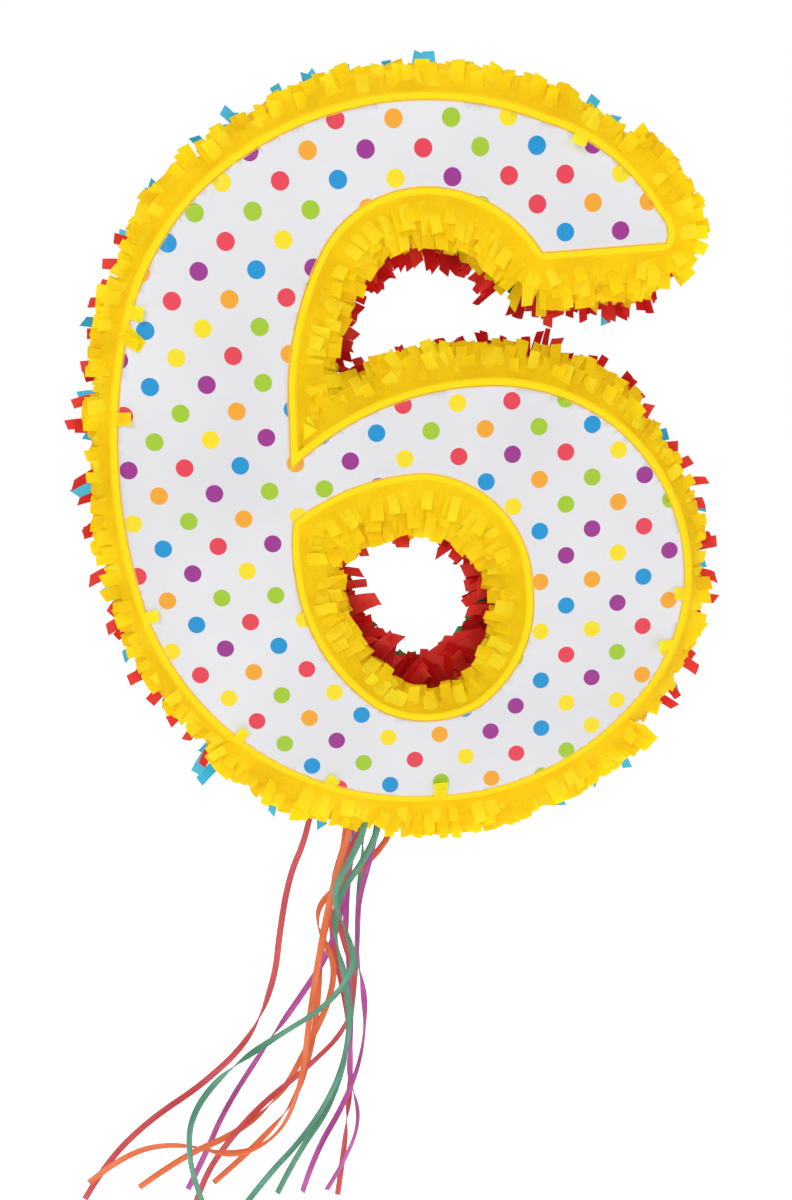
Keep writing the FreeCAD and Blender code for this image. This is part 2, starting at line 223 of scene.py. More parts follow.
def printedPaperMaterial():
    material, tree, output, where = newMaterial("printed paper")
    split = addNode(tree, "ShaderNodeSeparateXYZ", {0: where})
    across = math1(tree, "DIVIDE", math1(tree, "SUBTRACT", split.outputs["X"], dotPattern["firstColumn"]), dotPattern["columnPitch"])
    down = math1(tree, "DIVIDE", math1(tree, "SUBTRACT", dotPattern["firstRow"], split.outputs["Z"]), dotPattern["rowPitch"])
    row = math1(tree, "ROUND", down)
    stagger = math1(tree, "MULTIPLY", math1(tree, "FLOORED_MODULO", row, 2.0), 0.5)
    shifted = math1(tree, "SUBTRACT", across, stagger)
    offAcross = math1(tree, "MULTIPLY", math1(tree, "SUBTRACT", shifted, math1(tree, "ROUND", shifted)), dotPattern["columnPitch"])
    offDown = math1(tree, "MULTIPLY", math1(tree, "SUBTRACT", down, row), dotPattern["rowPitch"])
    reach = math1(tree, "SQRT", math1(tree, "ADD", math1(tree, "MULTIPLY", offAcross, offAcross), math1(tree, "MULTIPLY", offDown, offDown)))
    spot = addNode(tree, "ShaderNodeMapRange", {
        "Value": reach, "From Min": dotPattern["radius"] - 0.12 * mm, "From Max": dotPattern["radius"] + 0.12 * mm,
        "To Min": 1.0, "To Max": 0.0}, interpolation_type="SMOOTHSTEP").outputs["Result"]
    dotInk = addNode(tree, "ShaderNodeAttribute", attribute_name="dotInk").outputs["Color"]
    grain = addNode(tree, "ShaderNodeTexNoise", {"Vector": where, "Scale": 1400.0, "Detail": 3.0}).outputs["Fac"]
    cloud = addNode(tree, "ShaderNodeTexNoise", {"Vector": where, "Scale": 9.0, "Detail": 3.0}).outputs["Fac"]
    blank = rampNode(tree, cloud, [(0.3, ink(203, 203, 206)), (0.7, ink(211, 211, 213))])
    paint = mixColours(tree, spot, blank, dotInk)
    paint = mixColours(tree, 0.06, paint, rampNode(tree, grain, [(0.35, (0.3, 0.3, 0.3, 1)), (0.65, (1, 1, 1, 1))]), "MULTIPLY")
    edge = addNode(tree, "ShaderNodeAttribute", attribute_name="fromEdge").outputs["Fac"]
    line = addNode(tree, "ShaderNodeMapRange", {
        "Value": edge, "From Min": 0.7 * mm, "From Max": 1.3 * mm, "To Min": 0.85, "To Max": 0.0}).outputs["Result"]
    paint = mixColours(tree, line, paint, ink(236, 182, 52))
    ripple = addNode(tree, "ShaderNodeTexNoise", {"Vector": where, "Scale": 22.0, "Detail": 2.0}).outputs["Fac"]
    height = math1(tree, "MULTIPLY_ADD", ripple, 1.0, math1(tree, "MULTIPLY", grain, 0.02))
    bump = addNode(tree, "ShaderNodeBump", {"Height": height, "Strength": 0.35, "Distance": 0.004}).outputs["Normal"]
    paper = addNode(tree, "ShaderNodeBsdfPrincipled", {
        "Base Color": paint, "Roughness": 0.42, "Specular IOR Level": 0.35, "Coat Weight": 0.08,
        "Coat Roughness": 0.3, "Normal": bump})
    tree.links.new(paper.outputs[0], output.inputs["Surface"])
    return material


def cardMaterial():
    material, tree, output, where = newMaterial("corrugated card")
    flute = addNode(tree, "ShaderNodeTexWave", {"Vector": where, "Scale": 46.0, "Distortion": 0.4, "Detail": 1.0},
                    wave_type="BANDS", bands_direction="X").outputs["Fac"]
    fibre = addNode(tree, "ShaderNodeTexNoise", {"Vector": where, "Scale": 420.0, "Detail": 5.0, "Roughness": 0.7}).outputs["Fac"]
    cloud = addNode(tree, "ShaderNodeTexNoise", {"Vector": where, "Scale": 16.0, "Detail": 3.0}).outputs["Fac"]
    level = math1(tree, "MULTIPLY_ADD", fibre, 0.5, math1(tree, "MULTIPLY_ADD", cloud, 0.4, math1(tree, "MULTIPLY", flute, 0.1)))
    paint = rampNode(tree, level, [(0.3, ink(150, 112, 70)), (0.5, ink(186, 146, 98)), (0.7, ink(206, 170, 122))])
    height = math1(tree, "MULTIPLY_ADD", flute, 1.0, math1(tree, "MULTIPLY", fibre, 0.5))
    bump = addNode(tree, "ShaderNodeBump", {"Height": height, "Strength": 0.3, "Distance": 0.0005}).outputs["Normal"]
    card = addNode(tree, "ShaderNodeBsdfPrincipled", {
        "Base Color": paint, "Roughness": 0.85, "Specular IOR Level": 0.2, "Normal": bump})
    tree.links.new(card.outputs[0], output.inputs["Surface"])
    return material


def tapeMaterial():
    material, tree, output, where = newMaterial("gummed tape")
    fibre = addNode(tree, "ShaderNodeTexNoise", {"Vector": where, "Scale": 500.0, "Detail": 4.0}).outputs["Fac"]
    paint = rampNode(tree, fibre, [(0.3, ink(176, 134, 84)), (0.7, ink(204, 164, 110))])
    bump = addNode(tree, "ShaderNodeBump", {"Height": fibre, "Strength": 0.15, "Distance": 0.0003}).outputs["Normal"]
    tape = addNode(tree, "ShaderNodeBsdfPrincipled", {
        "Base Color": paint, "Roughness": 0.45, "Specular IOR Level": 0.4, "Normal": bump})
    tree.links.new(tape.outputs[0], output.inputs["Surface"])
    return material


# each ribbon's colour, then the paler colour of its painted sheen
ribbonInks = {
    "red": ((214, 62, 66), (240, 126, 134)),
    "orange": ((240, 112, 34), (252, 166, 112)),
    "green": ((66, 152, 116), (146, 206, 180)),
    "magenta": ((188, 46, 150), (236, 136, 220)),
}


def ribbonMaterial(name):
    deep, sheenPale = ribbonInks[name]
    material, tree, output, _ = newMaterial("curling ribbon " + name)
    along = addNode(tree, "ShaderNodeUVMap", uv_map="UVMap").outputs["UV"]
    split = addNode(tree, "ShaderNodeSeparateXYZ", {0: along})
    # slow streaks along the ribbon mix in the pale colour as painted sheen, and the ribs add faint painted shade
    # across it
    ribs = math1(tree, "SINE", math1(tree, "MULTIPLY", split.outputs["X"], 2 * math.pi * 11))
    sheenStreak = addNode(tree, "ShaderNodeTexNoise", {
        "Vector": addNode(tree, "ShaderNodeMapping", {"Vector": along, "Scale": (0.4, 1.7, 1.0)}).outputs[0],
        "Scale": 1.0, "Detail": 2.0}).outputs["Fac"]
    level = math1(tree, "MULTIPLY_ADD", ribs, 0.12, sheenStreak)
    paint = rampNode(tree, level, [(0.3, ink(*deep)), (0.75, ink(*sheenPale))])
    bump = addNode(tree, "ShaderNodeBump", {"Height": ribs, "Strength": 0.4, "Distance": 0.0002}).outputs["Normal"]
    satin = addNode(tree, "ShaderNodeBsdfPrincipled", {
        "Base Color": paint, "Roughness": 0.34, "Specular IOR Level": 0.5, "Sheen Weight": 0.2, "Normal": bump})
    through = addNode(tree, "ShaderNodeBsdfTranslucent", {"Color": paint, "Normal": bump})
    mixed = addNode(tree, "ShaderNodeMixShader", {0: 0.45, 1: satin.outputs[0], 2: through.outputs[0]})
    tree.links.new(mixed.outputs[0], output.inputs["Surface"])
    return material


cutTissue = {name: tissueMaterial(name, False) for name in tissueInks}
gluedTissue = {name: tissueMaterial(name, True) for name in tissueInks}
printedPaper = printedPaperMaterial()
card = cardMaterial()
tape = tapeMaterial()
ribbonFinish = {name: ribbonMaterial(name) for name in ribbonInks}
print("finishes made")


# --- CAD nodes that stay as they are get their finishes

for name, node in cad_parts.items():
    finish = tape if "tape" in name or name == "fill_flap_tab" else card
    node.data.materials.clear()
    node.data.materials.append(finish)


# --- the outline of a printed sheet, read from its CAD node

def copyNode(name):  # a merged copy of a CAD node's mesh
    work = bmesh.new()
    work.from_mesh(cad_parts[name].data)
    bmesh.ops.remove_doubles(work, verts=work.verts, dist=1e-6)
    return work


def sheetLoops(name, faceWay):  # the rings of points round the face that looks along faceWay * Y
    work = copyNode(name)
    work.normal_update()
    flat = {face for face in work.faces if face.normal.y * faceWay > 0.9}
    nextPoint = {}
    for face in flat:
        for loop in face.loops:
            if not any(other in flat for other in loop.edge.link_faces if other is not face):
                nextPoint[loop.vert.index] = loop.link_loop_next.vert.index
    places = {vert.index: vert.co.copy() for vert in work.verts}
    rings = []
    while nextPoint:
        start = next(iter(nextPoint))
        ring = []
        here = start
        while here in nextPoint:
            ring.append(places[here])
            here = nextPoint.pop(here)
        rings.append(ring)
    work.free()
    return sorted(rings, key=lambda ring: -abs(ringArea(ring)))


def ringArea(ring):  # positive where it runs anticlockwise, seen from the front
    return 0.5 * sum(a.x * b.z - b.x * a.z for a, b in zip(ring, ring[1:] + ring[:1]))


def evenRing(ring, step):
    points = []
    for a, b in zip(ring, ring[1:] + ring[:1]):
        parts = max(1, round((b - a).length / step))
        points.extend(a.lerp(b, i / parts) for i in range(parts))
    return points


def distanceTo(rings, places):  # from each place to the nearest stretch of the rings, and that nearest point
    places = np.array([(p[0], p[2]) for p in places])
    best = np.full(len(places), 1e9)
    nearest = np.zeros((len(places), 2))
    for ring in rings:
        start = np.array([(p.x, p.z) for p in ring])
        run = np.roll(start, -1, axis=0) - start
        square = np.maximum((run ** 2).sum(1), 1e-18)
        for a, d, s in zip(start, run, square):
            t = np.clip(((places - a) @ d) / s, 0, 1)
            foot = a + t[:, None] * d
            gap = np.hypot(*(places - foot).T)
            closer = gap < best
            best[closer] = gap[closer]
            nearest[closer] = foot[closer]
    return best, nearest


frontRings = sheetLoops("front_sheet", -1)
outerRing, holeRing = frontRings[0], frontRings[1]
print("sheet outline read:", len(outerRing), "and", len(holeRing), "points")


# --- printed sheets with their dots

sheetShape = {"cell": 6.176 * mm, "thick": 0.3 * mm, "lift": 0.9 * mm, "liftReach": 5 * mm}


def liftAt(x, z, edge):  # how far the sheet stands proud, by its edges and over slow waves
    loose = 0.5 + 0.5 * math.sin(31 * x + 1.3) * math.cos(23 * z - 0.4)
    return sheetShape["lift"] * loose * math.exp(-edge / sheetShape["liftReach"])


def makeSheet(name, nodeName, body, faceWay):
    rings = sheetLoops(nodeName, faceWay)
    outerEdge = frontRings
    work = bmesh.new()
    level = rings[0][0].y
    for ring in rings:
        verts = [work.verts.new(p) for p in evenRing(ring, 4 * mm)]
        for a, b in zip(verts, verts[1:] + verts[:1]):
            work.edges.new((a, b))
    bmesh.ops.triangle_fill(work, edges=work.edges, use_beauty=True, use_dissolve=False)
    low = [min(v.co[i] for v in work.verts) for i in range(3)]
    high = [max(v.co[i] for v in work.verts) for i in range(3)]
    rowStart = dotPattern["firstRow"] + dotPattern["rowPitch"] / 2
    cuts = []
    z = rowStart - math.floor((rowStart - low[2]) / sheetShape["cell"]) * sheetShape["cell"]
    while z < high[2]:
        cuts.append(((0, 0, z), (0, 0, 1)))
        z += sheetShape["cell"]
    x = dotPattern["firstColumn"] - 40 * dotPattern["columnPitch"] / 4
    while x < high[0]:
        if x > low[0]:
            cuts.append(((x, 0, 0), (1, 0, 0)))
        x += dotPattern["columnPitch"] / 5
    for place, way in cuts:
        bmesh.ops.bisect_plane(work, geom=work.verts[:] + work.edges[:] + work.faces[:], plane_co=place, plane_no=way, dist=1e-7)
    work.normal_update()
    for face in work.faces:
        if face.normal.y * faceWay < 0:
            face.normal_flip()
    edge, _ = distanceTo(outerEdge, [v.co for v in work.verts])
    own, _ = distanceTo(rings, [v.co for v in work.verts])
    for vert, gap, ownGap in zip(work.verts, edge, own):
        vert.co.y = level + faceWay * liftAt(vert.co.x, vert.co.z, ownGap)
        if ownGap < 1e-5:
            vert.co.y = level + faceWay * 0.7 * liftAt(vert.co.x, vert.co.z, 0)
    mesh = bpy.data.meshes.new(name)
    work.to_mesh(mesh)
    work.free()
    mesh.polygons.foreach_set("use_smooth", [True] * len(mesh.polygons))
    fromEdge = mesh.attributes.new("fromEdge", "FLOAT", "POINT")
    fromEdge.data.foreach_set("value", [float(g) for g in edge])
    dotInk = mesh.color_attributes.new("dotInk", "FLOAT_COLOR", "CORNER")
    for polygon in mesh.polygons:
        value = dotInkAt(polygon.center.x, polygon.center.z)
        for corner in polygon.loop_indices:
            dotInk.data[corner].color = value
    piece = showObject(name, mesh, printedPaper)
    solid = piece.modifiers.new("thickness", "SOLIDIFY")
    solid.thickness = sheetShape["thick"]
    solid.offset = -1
    bakeMesh(piece)
    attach(piece, body)
    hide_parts(nodeName)
    return piece


makeSheet("printed_front", "front_sheet", "shell", -1)
makeSheet("printed_back", "back_sheet", "shell", 1)
makeSheet("printed_flap", "fill_flap_sheet", "filling_flap", 1)
print("printed sheets made")


# --- tissue: one band is its glued header and its cut strips

def socketOf(tree, name, kind, value):
    socket = tree.interface.new_socket(name=name, in_out="INPUT", socket_type=kind)
    if value is not None:
        socket.default_value = value
    return socket


stripInputs = {
    "spacing": 6 * mm, "width": 7 * mm, "widthSpread": 1.5 * mm, "length": 26 * mm, "lengthSpread": 4 * mm, "lengthRise": 0.0,
    "start": 0.0, "startRise": 0.0, "lean": 0.7, "leanRise": 0.2, "leanSide": 0.0, "leanFlat": 0.0, "kick": 0.0, "leanSpread": 0.14,
    "fanSpread": 0.12, "curl": -0.2, "curlSpread": 0.3, "twistSpread": 0.25, "cup": 0.3, "skew": 0.12, "droop": 0.1,
    "depthSpread": 2 * mm, "tone": 0.5, "toneSpread": 0.3,
}


def stripTree():
    tree = bpy.data.node_groups.new("cut strips", "GeometryNodeTree")
    socketOf(tree, "Geometry", "NodeSocketGeometry", None)
    for name, value in stripInputs.items():
        socketOf(tree, name, "NodeSocketFloat", value)
    socketOf(tree, "seed", "NodeSocketInt", 1)
    socketOf(tree, "finish", "NodeSocketMaterial", None)
    tree.interface.new_socket(name="Geometry", in_out="OUTPUT", socket_type="NodeSocketGeometry")
    given = tree.nodes.new("NodeGroupInput").outputs
    result = tree.nodes.new("NodeGroupOutput")
    seedCount = [0]

    def chance(low, high):  # a random number for each strip
        seedCount[0] += 1
        node = addNode(tree, "FunctionNodeRandomValue", data_type="FLOAT")
        for socket in node.inputs:
            if not socket.enabled:
                continue
            value = {"Min": low, "Max": high, "Seed": math1(tree, "ADD", given["seed"], 17.0 * seedCount[0])}.get(socket.name)
            if isinstance(value, bpy.types.NodeSocket):
                tree.links.new(value, socket)
            elif value is not None:
                socket.default_value = value
        return next(s for s in node.outputs if s.enabled)

    def spread(middle, width):  # the middle value, give or take
        return math1(tree, "MULTIPLY_ADD", chance(-1.0, 1.0), width, middle)

    def keep(flow, name, value, kind="FLOAT"):
        node = addNode(tree, "GeometryNodeStoreNamedAttribute", data_type=kind, domain="POINT")
        tree.links.new(flow, node.inputs["Geometry"])
        node.inputs["Name"].default_value = name
        tree.links.new(value, node.inputs["Value"])
        return node.outputs["Geometry"]

    def recall(name, kind="FLOAT"):
        node = addNode(tree, "GeometryNodeInputNamedAttribute", data_type=kind)
        node.inputs["Name"].default_value = name
        return node.outputs["Attribute"]

    path = addNode(tree, "GeometryNodeMeshToCurve", {"Mesh": given["Geometry"]}).outputs[0]
    points = addNode(tree, "GeometryNodeCurveToPoints", {"Curve": path, "Length": given["spacing"]}, mode="LENGTH")
    place = tree.nodes.new("GeometryNodeInputPosition").outputs[0]
    tangent = vector1(tree, "NORMALIZE", points.outputs["Tangent"])
    outward = vector1(tree, "NORMALIZE", vector1(tree, "CROSS_PRODUCT", tangent, (0, 1, 0)))
    outParts = addNode(tree, "ShaderNodeSeparateXYZ", {0: outward}).outputs
    upward = outParts["Z"]
    swell = addNode(tree, "ShaderNodeTexNoise", {"Vector": place, "Scale": 38.0, "Detail": 1.0}).outputs["Fac"]
    swell = math1(tree, "SUBTRACT", swell, 0.5)
    base = math1(tree, "MULTIPLY_ADD", upward, given["leanRise"], given["lean"])
    base = math1(tree, "MULTIPLY_ADD", outParts["X"], given["leanSide"], base)
    base = math1(tree, "MULTIPLY_ADD", math1(tree, "ABSOLUTE", upward), given["leanFlat"], base)
    base = math1(tree, "MULTIPLY_ADD", swell, 0.7, base)
    lean = math1(tree, "ADD", spread(base, given["leanSpread"]), given["kick"])
    shift = math1(tree, "MULTIPLY", given["spacing"], 0.45)
    root = vector1(tree, "ADD", place, scaled(tree, tangent, math1(tree, "MULTIPLY", chance(-1.0, 1.0), shift)))
    jitter = addNode(tree, "ShaderNodeCombineXYZ", {"Y": math1(tree, "MULTIPLY", chance(-1.0, 1.0), given["depthSpread"])}).outputs[0]
    root = vector1(tree, "ADD", root, jitter)

    flow = points.outputs["Points"]
    flow = keep(flow, "root", root, "FLOAT_VECTOR")
    flow = keep(flow, "along", tangent, "FLOAT_VECTOR")
    flow = keep(flow, "outward", outward, "FLOAT_VECTOR")
    flow = keep(flow, "base", base)
    flow = keep(flow, "lean", lean)
    flow = keep(flow, "start", math1(tree, "MULTIPLY_ADD", upward, given["startRise"], given["start"]))
    flow = keep(flow, "fan", spread(math1(tree, "MULTIPLY", math1(tree, "MULTIPLY", swell, 5.0), given["fanSpread"]), given["fanSpread"]))
    flow = keep(flow, "curl", spread(given["curl"], given["curlSpread"]))
    flow = keep(flow, "twist", spread(0.0, given["twistSpread"]))
    flow = keep(flow, "wide", spread(given["width"], given["widthSpread"]))
    flow = keep(flow, "long", spread(math1(tree, "MULTIPLY_ADD", upward, given["lengthRise"], given["length"]), given["lengthSpread"]))
    flow = keep(flow, "tone", spread(given["tone"], given["toneSpread"]))
    flow = keep(flow, "skew", spread(0.0, given["skew"]))

    blank = addNode(tree, "GeometryNodeMeshGrid", {"Size X": 1.0, "Size Y": 1.0, "Vertices X": 4, "Vertices Y": 7}).outputs["Mesh"]
    local = addNode(tree, "ShaderNodeSeparateXYZ", {0: tree.nodes.new("GeometryNodeInputPosition").outputs[0]})
    blank = keep(blank, "v", local.outputs["X"])
    blank = keep(blank, "u", math1(tree, "ADD", local.outputs["Y"], 0.5))
    strips = addNode(tree, "GeometryNodeInstanceOnPoints", {"Points": flow, "Instance": blank}).outputs[0]
    strips = addNode(tree, "GeometryNodeRealizeInstances", {"Geometry": strips}).outputs[0]

    # each strip's own axes: ahead along it, aside across it, face out of it
    alongWay, outWay = recall("along", "FLOAT_VECTOR"), recall("outward", "FLOAT_VECTOR")
    fan, leanNow = recall("fan"), recall("lean")
    cosFan, sinFan = math1(tree, "COSINE", fan), math1(tree, "SINE", fan)
    flatAhead = vector1(tree, "ADD", scaled(tree, outWay, math1(tree, "COSINE", leanNow)),
                        addNode(tree, "ShaderNodeCombineXYZ", {"Y": math1(tree, "SINE", leanNow)}).outputs[0])
    ahead = vector1(tree, "ADD", scaled(tree, flatAhead, cosFan), scaled(tree, alongWay, sinFan))
    ahead = vector1(tree, "NORMALIZE", ahead)
    side = vector1(tree, "SUBTRACT", scaled(tree, alongWay, cosFan), scaled(tree, flatAhead, sinFan))
    face = vector1(tree, "NORMALIZE", vector1(tree, "CROSS_PRODUCT", side, ahead))
    aside = vector1(tree, "CROSS_PRODUCT", ahead, face)
    u = math1(tree, "MULTIPLY_ADD", recall("v"), math1(tree, "MULTIPLY", recall("skew"), recall("u")), recall("u"))
    bendAll = math1(tree, "ADD", recall("curl"), 0.003)
    bend = math1(tree, "MULTIPLY", bendAll, u)
    span = math1(tree, "DIVIDE", recall("long"), bendAll)
    cosBend, sinBend = math1(tree, "COSINE", bend), math1(tree, "SINE", bend)
    line = vector1(tree, "ADD", scaled(tree, ahead, math1(tree, "MULTIPLY", span, sinBend)),
                   scaled(tree, face, math1(tree, "MULTIPLY", span, math1(tree, "SUBTRACT", 1.0, cosBend))))
    faceNow = vector1(tree, "SUBTRACT", scaled(tree, face, cosBend), scaled(tree, ahead, sinBend))
    turn = math1(tree, "MULTIPLY", recall("twist"), u)
    cosTurn, sinTurn = math1(tree, "COSINE", turn), math1(tree, "SINE", turn)
    across = vector1(tree, "ADD", scaled(tree, aside, cosTurn), scaled(tree, faceNow, sinTurn))
    proud = vector1(tree, "SUBTRACT", scaled(tree, faceNow, cosTurn), scaled(tree, aside, sinTurn))
    offset = math1(tree, "MULTIPLY", recall("v"), recall("wide"))
    cup = math1(tree, "MULTIPLY", math1(tree, "MULTIPLY", recall("v"), recall("v")), math1(tree, "MULTIPLY", recall("wide"), math1(tree, "MULTIPLY", given["cup"], -1.0)))
    hang = math1(tree, "MULTIPLY", math1(tree, "MULTIPLY", given["droop"], recall("long")), math1(tree, "MULTIPLY", u, math1(tree, "MULTIPLY", u, -1.0)))
    baseAhead = vector1(tree, "ADD", scaled(tree, outWay, math1(tree, "COSINE", recall("base"))),
                        addNode(tree, "ShaderNodeCombineXYZ", {"Y": math1(tree, "SINE", recall("base"))}).outputs[0])
    final = vector1(tree, "ADD", recall("root", "FLOAT_VECTOR"), scaled(tree, baseAhead, recall("start")))
    final = vector1(tree, "ADD", final, line)
    final = vector1(tree, "ADD", final, scaled(tree, across, offset))
    final = vector1(tree, "ADD", final, scaled(tree, proud, cup))
    final = vector1(tree, "ADD", final, addNode(tree, "ShaderNodeCombineXYZ", {"Z": hang}).outputs[0])
    strips = addNode(tree, "GeometryNodeSetPosition", {"Geometry": strips, "Position": final}).outputs[0]
    for name in ("root", "along", "outward", "base", "lean", "start", "fan", "curl", "twist", "wide", "long", "skew", "u", "v"):
        node = addNode(tree, "GeometryNodeRemoveAttribute", {"Geometry": strips})
        node.inputs["Name"].default_value = name
        strips = node.outputs[0]
    strips = addNode(tree, "GeometryNodeSetShadeSmooth", {"Geometry": strips}).outputs[0]
    strips = addNode(tree, "GeometryNodeRealizeInstances", {"Geometry": strips}).outputs[0]
    strips = addNode(tree, "GeometryNodeSetMaterial", {"Geometry": strips, "Material": given["finish"]}).outputs[0]
    tree.links.new(strips, result.inputs["Geometry"])
    return tree


cutStrips = stripTree()


def offsetRing(ring, away, step):  # the ring moved away from the sheet, without the stretches that cross over
    points = evenRing(ring, step)
    moved = []
    for before, here, after in zip(points[-1:] + points[:-1], points, points[1:] + points[:1]):
        run = (after - before).normalized()
        moved.append(here + run.cross(Vector((0, 1, 0))) * away)
    gap, _ = distanceTo([ring], moved)
    return [p for p, g in zip(moved, gap) if g > 0.985 * away]


def orient(ring, clockwise):
    return ring[::-1] if (ringArea(ring) > 0) == clockwise else ring


outerRing = orient(outerRing, True)
holeRing = orient(holeRing, False)

depthRow = 16 * mm
frontLevel = outerRing[0].y
door = {"low": -20 * mm - drawingOrigin.x, "high": 50 * mm - drawingOrigin.x, "under": -0.45,
        "front": 17 * mm - drawingOrigin.y, "back": 63 * mm - drawingOrigin.y}


def stripMesh(points, closed, level, settings, seed, finish):
    mesh = bpy.data.meshes.new("path")
    edges = [(i, i + 1) for i in range(len(points) - 1)] + ([(len(points) - 1, 0)] if closed else [])
    mesh.from_pydata([(p.x, level, p.z) for p in points], edges, [])
    piece = bpy.data.objects.new("path", mesh)
    scene.collection.objects.link(piece)
    modifier = piece.modifiers.new("strips", "NODES")
    modifier.node_group = cutStrips
    given = {**stripInputs, **settings, "seed": seed, "finish": finish}
    for item in cutStrips.interface.items_tree:
        if item.in_out == "INPUT" and item.name in given:
            modifier[item.identifier] = given[item.name]
    made = bpy.data.meshes.new_from_object(piece.evaluated_get(bpy.context.evaluated_depsgraph_get()))
    bpy.data.objects.remove(piece)
    return made


def headerMesh(nodeName, rings):  # the CAD band without its plain fin, which the cut strips stand for
    work = copyNode(nodeName)
    gap, _ = distanceTo(rings, [v.co for v in work.verts])
    gapOf = dict(zip(work.verts, gap))
    fins = [f for f in work.faces if sum(gapOf[v] for v in f.verts) / len(f.verts) > 6 * mm]
    bmesh.ops.delete(work, geom=fins, context="FACES")
    mesh = bpy.data.meshes.new("header")
    work.to_mesh(mesh)
    work.free()
    # the glued header takes the darkest ink: painted shade on the margin beside the sheet
    tone = mesh.attributes.new("tone", "FLOAT", "POINT")
    tone.data.foreach_set("value", [0.02] * len(mesh.vertices))
    return mesh


def joinMeshes(name, header, strips, finishes):  # the header takes the first finish and the strips the second
    work = bmesh.new()
    work.from_mesh(header)
    bpy.data.meshes.remove(header)
    for mesh in strips:
        before = len(work.faces)
        work.from_mesh(mesh)
        work.faces.ensure_lookup_table()
        for face in work.faces[before:]:
            face.material_index = 1
        bpy.data.meshes.remove(mesh)
    whole = bpy.data.meshes.new(name)
    work.to_mesh(whole)
    work.free()
    for finish in finishes:
        whole.materials.append(finish)
    return showObject(name, whole)


bandRows = ["yellow_front", "yellow_second", "red", "green", "blue"]
uncutTissue = {"spacing": 2 * mm, "width": 7 * mm, "widthSpread": 0.0, "lengthSpread": 0.0, "leanSpread": 0.0, "fanSpread": 0.0, "curl": 0.0,
               "curlSpread": 0.0, "twistSpread": 0.0, "cup": 0.0, "skew": 0.0, "depthSpread": 0.0, "droop": 0.0, "tone": 0.45, "toneSpread": 0.03}
tabs = {"spacing": 5.5 * mm, "width": 8.6 * mm, "widthSpread": 1.6 * mm, "leanSpread": 0.3, "fanSpread": 0.16, "curl": -0.15,
        "curlSpread": 0.6, "twistSpread": 0.5, "cup": 0.12, "skew": 0.1, "depthSpread": 0.4 * mm, "droop": 0.05, "toneSpread": 0.3}


def frontRow(reach, cut, rise=0.0, flaps=9 * mm, **pose):  # the band beside the sheet: an uncut part, then tabs cut in its outer end
    uncut = reach - cut
    rows = [(0.3, {**uncutTissue, "length": uncut + 2 * mm, "lengthRise": rise, **pose})]
    # the deeper rows of tabs take darker inks and the front ones brighter: painted shade between the layers and
    # painted highlight on the front tabs
    for level, part, spacing, kick, tone in [(1.4, 0.9, 5.5 * mm, 0.1, 0.3), (0.2, 1.0, 5.5 * mm, 0.0, 0.5), (0.05, 0.62, 7 * mm, -0.05, 0.62),
                                             (-0.1, 0.3, flaps, -0.1, 0.75)]:
        rows.append((level, {**tabs, "start": part * uncut, "startRise": part * rise, "length": cut, "lengthSpread": 2.5 * mm,
                             "spacing": spacing, "kick": kick, "tone": tone, **pose}))
    return rows


def longCurls(spacing, length, lean):  # a few long loose strips that show past the front
    return (3.0, {"spacing": spacing, "width": 8.5 * mm, "length": length, "lengthSpread": 5 * mm, "lean": lean, "leanRise": 0.0, "leanSpread": 0.15,
                  "fanSpread": 0.3, "curl": 0.45, "curlSpread": 0.9, "twistSpread": 0.7, "cup": 0.05, "tone": 0.85, "toneSpread": 0.15})


def backRow(length, lean, loose=0.0, more=7.0, **pose):  # two overlapped rows of whole strips, some of them loose and curling
    rowPose = {"length": length, "lean": lean, **pose}
    return [
        (0.0, {**rowPose, "lengthSpread": 4 * mm + loose * 5 * mm, "curlSpread": 0.3 + loose, "twistSpread": 0.25 + 0.7 * loose,
               "fanSpread": 0.12 + 0.2 * loose}),
        (more, {**rowPose, "length": length - 1 * mm, "lean": lean - 0.1}),
    ]


sideLayers = {
    "yellow_front": frontRow(22 * mm, 13 * mm, lean=0.6, leanSide=0.1, leanRise=0.0, leanFlat=-0.1),
    "yellow_second": backRow(24 * mm, 0.85),
    "red": backRow(21 * mm, 0.72, 0.9) + [longCurls(17 * mm, 33 * mm, 0.0)],
    "green": backRow(17 * mm, 0.65),
    "blue": backRow(16 * mm, 0.2) + [longCurls(45 * mm, 38 * mm, -0.05)],
}
crownLayers = {**sideLayers,
    "yellow_front": frontRow(25 * mm, 13 * mm, lean=0.45, leanRise=0.0),
    "red": backRow(18 * mm, 0.8),
    "green": backRow(22 * mm, 0.55),
    "blue": backRow(27 * mm, -0.1, 0.8, 5.0, leanSpread=0.2, curl=0.4) + [longCurls(15 * mm, 41 * mm, -0.05)],
}
footLayers = {**sideLayers,
    "yellow_front": frontRow(29 * mm, 14 * mm, lean=0.22, leanRise=0.0),
    "yellow_second": backRow(25 * mm, 0.5),
    "red": backRow(19 * mm, 0.6),
    "green": backRow(20 * mm, 0.4),
    "blue": backRow(23 * mm, -0.1, 0.8, 5.0, leanSpread=0.2, curl=0.4) + [longCurls(22 * mm, 55 * mm, -0.05)],
}
armEndLayers = {**sideLayers,
    "yellow_front": frontRow(27 * mm, 13 * mm, lean=0.2, leanRise=0.0),
    "yellow_second": backRow(25 * mm, 0.5),
    "red": backRow(24 * mm, 0.3, 0.5),
}
creaseLayers = {name: backRow(9 * mm, 0.3) for name in bandRows}
besideDoorLayers = {"blue": backRow(19 * mm, 0.3, 0.0, 6.0, curl=-0.1, leanSpread=0.06, depthSpread=0.3 * mm)}  # leans out of the way of the trapdoor
